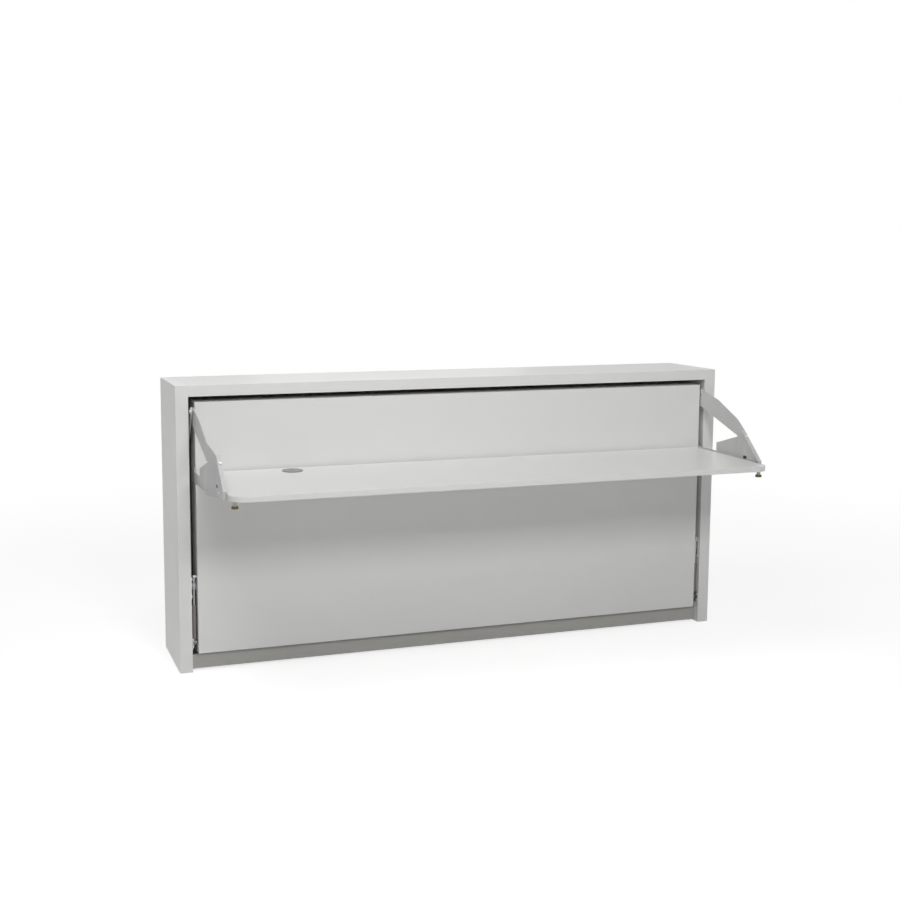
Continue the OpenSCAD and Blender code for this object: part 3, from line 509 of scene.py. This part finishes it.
# Every other node in one finish: the finish, the width and segments of its rounded edges, the nodes
hardware = [
    ("greySteel", 0.0005, 2, ["desk_bracket_left", "desk_bracket_right", "desk_arm_left", "desk_arm_right",
                              "control_rod_left", "control_rod_right"]),
    ("zinc", 0.0004, 2, ["corner_brackets", "bed_pivot_left", "bed_pivot_right", "link_pivot_left",
                         "link_pivot_right", "link_pins"]),
    ("dullZinc", 0.0004, 2, ["spring_base_left", "spring_base_right", "spring_studs", "spring_socket_left",
                             "spring_socket_right", "desk_pins"]),
    ("polished", 0.0003, 2, ["spring_rod_left", "spring_rod_right"]),
    ("darkPaint", 0.0008, 3, ["spring_cylinder_left", "spring_cylinder_right"]),
    ("nylon", 0.0003, 2, ["pivot_bushes", "arm_bushes", "rod_bushes_left", "rod_bushes_right",
                          "stop_blocks", "desk_feet"]),
    ("greyPlastic", 0.0006, 2, ["levelling_feet"]),
    ("rubber", 0.0005, 2, ["stop_pads"]),
    ("olive", 0.0012, 3, ["foot_pads"]),
    ("grommet", 0.0006, 3, ["grommet_ring"]),
    ("grommet", 0.0004, 3, ["grommet_cap"]),
    ("pine", 0.0015, 2, ["slat_bearer_lower", "slat_bearer_upper"]),
    ("pineUpright", 0.0015, 2, ["panel_battens"]),
    ("blackPlastic", 0.0005, 2, ["slat_caps"]),
    # The slot plugs: black pieces that fill the slots in the brackets, so each slot shows black
    ("blackPlastic", 0.0003, 2, ["slot_plugs"]),
]
for finish, width, segments, group in hardware:
    for node in group:
        mesh = cadMesh(node)
        roundEdges(mesh, width, segments)
        makePiece(mesh, node, finish)
print("hardware made")

# Screws and bolts: a hexagon socket in each head
screw = {
    "edge": 0.0004,
    "socketShare": 0.52,  # of the head's flat radius
    "socketDepth": 0.0011,
    "socketSides": 6,
    "roundFrom": 12,  # a face with more corners than this is round, such as a head's flat
}


def solidsOf(mesh):
    # The faces of each separate solid, always in the same order
    found = set()
    for first in mesh.faces:
        solid = [] if first in found else [first]
        found.add(first)
        for face in solid:  # grows until no neighbour is left
            for other in (other for edge in face.edges for other in edge.link_faces):
                if other not in found:
                    found.add(other)
                    solid.append(other)
        if solid:
            yield solid


def headOf(solid):
    return max(solid, key=lambda face: face.calc_area() * (len(face.verts) > screw["roundFrom"]))


def cutSocket(mesh, head):
    centre = head.calc_center_bounds()
    normal = head.normal.copy()
    radius = screw["socketShare"] * math.sqrt(head.calc_area() / math.pi)
    turn = normal.to_track_quat("Z", "Y").to_matrix().to_4x4()
    rings = [list(head.edges)]
    bmesh.ops.delete(mesh, geom=[head], context="FACES_ONLY")
    for depth in (0, screw["socketDepth"]):
        made = bmesh.ops.create_circle(mesh, segments=screw["socketSides"], radius=radius,
                                       matrix=Matrix.Translation(centre - normal * depth) @ turn)
        rings.append(edgesOf(made["verts"]))
    bmesh.ops.bridge_loops(mesh, edges=rings[0] + rings[1])
    bmesh.ops.bridge_loops(mesh, edges=rings[1] + rings[2])
    bmesh.ops.contextual_create(mesh, geom=rings[2])


def socketed(node):
    mesh = cadMesh(node)
    roundEdges(mesh, screw["edge"])
    for head in [headOf(solid) for solid in solidsOf(mesh)]:
        cutSocket(mesh, head)
    bmesh.ops.recalc_face_normals(mesh, faces=mesh.faces)
    makePiece(mesh, node, "zinc")


for node in ("plate_screws", "arm_screws", "bracket_bolts", "flange_bolts"):
    socketed(node)
print("screws made")

# Slats: beech faces, and ply layers along the edges
slats = {
    "edge": 0.0015,
    "faceTurn": 0.7,
}


def makeSlats():
    mesh = cadMesh("slats")
    roundEdges(mesh, slats["edge"])
    for face in mesh.faces:
        face.material_index = 0 if abs(face.normal.y) > slats["faceTurn"] else 1
    makePiece(mesh, "slats", "beech", "ply")


makeSlats()
print("slats made")

# Mattress: blown up a little by the cloth solver, then quilted, seamed and piped
mattress = {
    "inset": 0.006,
    "voxel": 0.0155,
    "pressure": 4.0,
    "frames": 20,
    "cap": 0.010,
    "margin": 0.0006,  # kept free inside the room that the mattress has
    "quiltPitch": 0.12,
    "quiltDepth": 0.0075,
    "quiltWidth": 0.011,
    "quiltBorder": 0.045,
    "quiltFrom": 0.6,  # of the border's width: the quilting fades in from here
    "quiltTurn": 0.6,  # where the surface faces the front or the back more than this
    "tickingTurn": 0.55,
    "borderSeam": 0.0022,
    "seamWidth": 0.006,
    "pipingInset": 0.014,
    "pipingRadius": 0.0032,
}


def heldIn(value, low, high):
    return max(low, min(high, value))


def baked(piece):
    # The piece's mesh as its modifiers leave it
    graph = bpy.context.evaluated_depsgraph_get()
    return bpy.data.meshes.new_from_object(piece.evaluated_get(graph), depsgraph=graph)


def bakedIn(piece):
    piece.data = baked(piece)
    piece.modifiers.clear()


def smallerPad(node):
    # The CAD solid, drawn in on all sides to leave room for the swelling
    low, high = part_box(node)
    middle = (low + high) / 2
    half = (high - low) / 2
    mesh = cadMesh(node)
    share = Vector(1 - mattress["inset"] / half[axis] for axis in range(3))
    bmesh.ops.translate(mesh, verts=mesh.verts, vec=-middle)
    bmesh.ops.scale(mesh, verts=mesh.verts, vec=share)
    bmesh.ops.translate(mesh, verts=mesh.verts, vec=middle)
    data = bpy.data.meshes.new("pad")
    mesh.to_mesh(data)
    mesh.free()
    return makeObject("pad", data)


def blowUp(pad):
    # Pressure without gravity, and no point moves further than the cap
    start = [vert.co.copy() for vert in pad.data.vertices]
    cloth = pad.modifiers.new("cloth", "CLOTH")
    cloth.settings.use_pressure = True
    cloth.settings.uniform_pressure_force = mattress["pressure"]
    cloth.settings.effector_weights.gravity = 0
    cloth.point_cache.frame_start = 1
    cloth.point_cache.frame_end = mattress["frames"]
    for step in range(1, mattress["frames"] + 1):
        bpy.context.scene.frame_set(step)
    bakedIn(pad)
    bpy.context.scene.frame_set(1)
    for vert, old in zip(pad.data.vertices, start):
        move = vert.co - old
        if move.length > mattress["cap"]:
            vert.co = old + move.normalized() * mattress["cap"]


def blownPad(node):
    pad = smallerPad(node)
    remesh = pad.modifiers.new("remesh", "REMESH")
    remesh.mode = "VOXEL"
    remesh.voxel_size = mattress["voxel"]
    bakedIn(pad)
    blowUp(pad)
    subdivision = pad.modifiers.new("subdivision", "SUBSURF")
    subdivision.levels = subdivision.render_levels = 1
    data = baked(pad)
    bpy.data.objects.remove(pad)
    mesh = bmesh.new()
    mesh.from_mesh(data)
    return mesh


def fitRoom(mesh, low, high):
    # Draws the pad in as a whole where it swelled past its room, so that its crown stays
    middle = (low + high) / 2
    room = (high - low) / 2 - Vector((1, 1, 1)) * mattress["margin"]
    for axis in range(3):
        reach = max(abs(vert.co[axis] - middle[axis]) for vert in mesh.verts)
        share = min(1, room[axis] / reach)
        for vert in mesh.verts:
            vert.co[axis] = middle[axis] + (vert.co[axis] - middle[axis]) * share


def keepInRoom(mesh, low, high):
    margin = mattress["margin"]
    for vert in mesh.verts:
        for axis in range(3):
            vert.co[axis] = heldIn(vert.co[axis], low[axis] + margin, high[axis] - margin)


def quiltGroove(x, z):
    # 1 on a seam of the diamond quilting, 0 between seams
    pitch = mattress["quiltPitch"]
    gap = min(abs((along / pitch) % 1 - 0.5) for along in (x + z, x - z)) * pitch / math.sqrt(2)
    return math.exp(-(gap / mattress["quiltWidth"]) ** 2)


def quiltedPad(node):
    low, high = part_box(node)
    middle = (low + high) / 2
    mesh = blownPad(node)
    fitRoom(mesh, low, high)
    mesh.normal_update()
    for vert in mesh.verts:
        if abs(vert.normal.y) > mattress["quiltTurn"]:
            edge = min(vert.co.x - low.x, high.x - vert.co.x, vert.co.z - low.z, high.z - vert.co.z)
            fade = heldIn(edge / mattress["quiltBorder"] - mattress["quiltFrom"], 0, 1)
            sink = mattress["quiltDepth"] * fade * quiltGroove(vert.co.x, vert.co.z - middle.z)
            vert.co.y -= math.copysign(sink, vert.normal.y)
        else:
            depth = min(vert.co.y - low.y, high.y - vert.co.y)
            away = (depth - mattress["pipingInset"]) / mattress["seamWidth"]
            vert.co -= vert.normal * (math.exp(-away ** 2) * mattress["borderSeam"])
    keepInRoom(mesh, low, high)
    for face in mesh.faces:
        face.material_index = 1 if abs(face.normal.y) < mattress["tickingTurn"] else 0
    return mesh


# Piping round both edges, found by probes that are sent in from outside
probe = {
    "steps": 240,
    "squareness": 0.35,  # 1 is an ellipse, less spreads the probes along the long sides
    "start": 0.6,  # of the mattress's size, from its middle
    "aim": 0.1,  # towards points this far inside its edges
}


def squared(value):
    return math.copysign(abs(value) ** probe["squareness"], value)


def pipingPath(tree, level, low, high):
    # Where a string round the mattress lies at one depth, found on the pad itself
    middle = (low + high) / 2
    size = high - low
    points = []
    for step in range(probe["steps"]):
        angle = 2 * math.pi * step / probe["steps"]
        start = Vector((middle.x + squared(math.cos(angle)) * size.x * probe["start"], level,
                        middle.z + squared(math.sin(angle)) * size.z * probe["start"]))
        inner = Vector((heldIn(start.x, low.x + probe["aim"], high.x - probe["aim"]), level,
                        heldIn(start.z, low.z + probe["aim"], high.z - probe["aim"])))
        hit = tree.ray_cast(start, (inner - start).normalized())[0]
        if hit:
            points.append(hit)
    return points


def makePiping(tree, node):
    low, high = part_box(node)
    curve = bpy.data.curves.new("piping", "CURVE")
    curve.dimensions = "3D"
    curve.bevel_depth = mattress["pipingRadius"]
    curve.bevel_resolution = 2
    for level in (low.y + mattress["pipingInset"], high.y - mattress["pipingInset"]):
        points = pipingPath(tree, level, low, high)
        spline = curve.splines.new("POLY")
        spline.points.add(len(points) - 1)
        for point, place in zip(spline.points, points):
            point.co = (*place, 1)
        spline.use_cyclic_u = True
    string = makeObject("piping", curve)
    data = baked(string)
    bpy.data.objects.remove(string)
    mesh = bmesh.new()
    mesh.from_mesh(data)
    keepInRoom(mesh, low, high)
    makePiece(mesh, node, "piping", part="piping", standsIn=False)


def makeMattress():
    mesh = quiltedPad("mattress")
    makePiping(BVHTree.FromBMesh(mesh), "mattress")
    pad = makePiece(mesh, "mattress", "ticking", "border", part="pad", sharp=80)


makeMattress()
print("mattress made")

# Straps: webbing turned over the mattress's edges
strap = {
    "bend": 0.016,
    "bendSegments": 5,
    "thickness": 0.0025,
    "width": 0.040,
    "edge": 0.0007,
    "edgeTurn": 60,
    "straightWithin": 1e-5,
    "cornerTurn": 1,  # radians
    "cornerWithin": 0.006,  # corners lie this close to the straps' front and ends
    "outerWithin": 0.001,  # and their outer ones this close to the front
}


def makeStraps():
    low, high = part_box("mattress_straps")
    mesh = cadMesh("mattress_straps")
    inner, outer = [], []
    for edge in mesh.edges:
        a, b = edge.verts[0].co, edge.verts[1].co
        alongX = abs(a.y - b.y) + abs(a.z - b.z) < strap["straightWithin"]
        atFront = a.y > high.y - strap["cornerWithin"]
        atEnd = min(a.z - low.z, high.z - a.z) < strap["cornerWithin"]
        if alongX and atFront and atEnd and edge.calc_face_angle(0) > strap["cornerTurn"]:
            (outer if a.y > high.y - strap["outerWithin"] else inner).append(edge)
    bevelled(mesh, inner, strap["bend"] - strap["thickness"], strap["bendSegments"])
    bevelled(mesh, outer, strap["bend"], strap["bendSegments"])
    roundEdges(mesh, strap["edge"], sharper=strap["edgeTurn"])
    makePiece(mesh, "mattress_straps", "webbing")


makeStraps()

# Stitches: rows across each strap, below and above its buckle
stitch = {
    "length": 0.0032,
    "width": 0.0007,
    "pitch": 0.0048,
    "inset": 0.005,  # from the strap's edges
    "sunk": 0.2,  # of its width
    "rounding": 0.3,  # of its width
    "edgeTurn": 60,
    "below": (0.012, 0.018, 0.024, 0.030),  # the rows' distances from the buckle
    "above": (0.012, 0.018),
}


def makeStitches():
    low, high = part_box("mattress_straps")
    buckleLow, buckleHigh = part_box("strap_buckles")
    mesh = bmesh.new()
    width = stitch["width"]
    half = strap["width"] / 2 - stitch["inset"]
    count = int(2 * half / stitch["pitch"])
    rows = [buckleLow.z - away for away in stitch["below"]]
    rows += [buckleHigh.z + away for away in stitch["above"]]
    for middle in (low.x + strap["width"] / 2, high.x - strap["width"] / 2):
        for z in rows:
            for step in range(count + 1):
                x = middle - half + 2 * half * step / count
                addBlock(mesh, (stitch["length"], width, width), (x, high.y - width * stitch["sunk"], z))
    roundEdges(mesh, width * stitch["rounding"], segments=1, sharper=stitch["edgeTurn"])
    makePiece(mesh, "mattress_straps", "thread", part="stitches", standsIn=False)


makeStitches()

# Buckles: a frame with a sunken middle, a bar across it and a lever
buckle = {
    "side": 0.052,
    "corner": 0.006,
    "cornerSegments": 4,
    "uprightFrom": 0.001,  # the corner edges reach further than this through the thickness
    "frontTurn": 0.9,
    "rim": 0.0055,
    "slope": 0.0004,
    "sink": 0.0022,
    "edge": 0.0006,
    "edgeTurn": 50,
    "bars": ((0.016, 0.006), (0.031, 0.011)),  # height and width of the bar and of the lever
    "barThickness": 0.0018,
    "barDepth": 0.0012,
    "barGap": 0.001,
}


def makeBuckles():
    low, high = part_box("strap_buckles")
    mesh = cadMesh("strap_buckles")
    upright = [edge for edge in mesh.edges
               if abs(edge.verts[0].co.y - edge.verts[1].co.y) > buckle["uprightFrom"]]
    bevelled(mesh, upright, buckle["corner"], buckle["cornerSegments"])
    front = [face for face in mesh.faces if face.normal.y > buckle["frontTurn"]]
    bmesh.ops.inset_individual(mesh, faces=front, thickness=buckle["rim"], depth=0)
    bmesh.ops.inset_individual(mesh, faces=front, thickness=buckle["slope"], depth=-buckle["sink"])
    roundEdges(mesh, buckle["edge"], sharper=buckle["edgeTurn"])
    length = buckle["side"] - buckle["rim"] * 2 - buckle["barGap"]
    for middle in (low.x + buckle["side"] / 2, high.x - buckle["side"] / 2):
        for height, width in buckle["bars"]:
            verts = addBlock(mesh, (length, buckle["barThickness"], width),
                             (middle, high.y - buckle["barDepth"], low.z + height))
            bevelled(mesh, edgesOf(verts), buckle["edge"], segments=2)
    makePiece(mesh, "strap_buckles", "blackPlastic")


makeBuckles()
print("straps made")

# Floor, lights and world
studio = {
    "floorShade": (0.86, 0.86, 0.86),
    "floorRoughness": 0.9,
    "floorSize": 120,
    "nearShare": 0.42,  # share of the glow in the floor near the object, for the eye
    "near": 1.4,
    "far": 4.5,  # from here on the floor is plain white to the eye
    "fade": 0.05,  # within the cabinet's outline the floor loses its white over this distance
    "floorGlow": 1.7,
    "ambient": 0.22,
}
lamps = {
    "key": {"place": (-0.4, -4.3, 3.05), "aim": (0.0, 0.1, 0.5), "size": (0.9, 0.9), "power": 63},
    "topLeft": {"place": (-1.5, -1.0, 3.5), "aim": (-0.5, 0, 0.5), "size": (1.5, 1.5), "power": 36},
    "topRight": {"place": (1.0, -1.0, 3.5), "aim": (0.5, 0, 0.5), "size": (1.5, 1.5), "power": 6},
    "behind": {"place": (1.2, 4.6, 0.95), "aim": (0, 0.2, 0.5), "size": (2.0, 0.8), "power": 16},
}


def underCabinet(place):
    # 1 on the floor inside the cabinet, behind its kick rail
    fade = studio["fade"]
    left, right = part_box("side_left")[0].x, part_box("side_right")[1].x
    front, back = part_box("kick_rail")[1].y + fade / 2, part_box("back_panel")[1].y
    x, y, z = place.split()
    acrossX = x.smooth(left, left + fade) * (1 - x.smooth(right - fade, right))
    acrossY = y.smooth(front, front + fade) * (1 - y.smooth(back - fade, back))
    return acrossX * acrossY


def makeFloor():
    # White to the eye far off, a mix of lit floor and glow nearby, and lit floor alone to other rays
    mesh = bmesh.new()
    bmesh.ops.create_grid(mesh, x_segments=1, y_segments=1, size=studio["floorSize"] / 2)
    data = bpy.data.meshes.new("floor")
    mesh.to_mesh(data)
    mesh.free()
    floor = makeObject("floor", data)
    shader = Shader("floorShade", studio["floorShade"], studio["floorRoughness"])
    place = shader.place()
    seen = shader.seen()
    share = seen * (1 - underCabinet(place)) * studio["nearShare"]
    lit = Wire(shader, shader.surface.outputs[0])
    glow = shader.node("ShaderNodeEmission", {"Strength": studio["floorGlow"]})
    nearby = shader.node("ShaderNodeMixShader", {0: share, 1: lit, 2: glow})
    distant = place.length().smooth(studio["near"], studio["far"]) * seen
    plainWhite = shader.node("ShaderNodeEmission", {"Strength": 1.0})
    mixed = shader.node("ShaderNodeMixShader", {0: distant, 1: nearby, 2: plainWhite})
    shader.feed(shader.tree.nodes["Material Output"].inputs["Surface"], mixed)
    data.materials.append(shader.material)


def makeLamp(name, place, aim, size, power):
    data = bpy.data.lights.new(name, "AREA")
    data.shape = "RECTANGLE"
    data.size, data.size_y = size
    data.energy = power
    lamp = makeObject(name, data)
    lamp.location = place
    lamp.rotation_euler = (Vector(aim) - Vector(place)).to_track_quat("-Z", "Y").to_euler()


def makeWorld():
    # White to the eye, and a low even light on the object
    world = bpy.data.worlds.new("world")
    bpy.context.scene.world = world
    world.use_nodes = True
    shader = Nodes(world.node_tree)
    background = world.node_tree.nodes["Background"]
    shader.feed(background.inputs["Color"], (1, 1, 1, 1))
    shader.feed(background.inputs["Strength"], shader.seen() * (1 - studio["ambient"]) + studio["ambient"])


makeFloor()
for name, lamp in lamps.items():
    makeLamp(name, **lamp)
makeWorld()
bpy.context.scene.view_settings.view_transform = "Standard"
print("studio made")
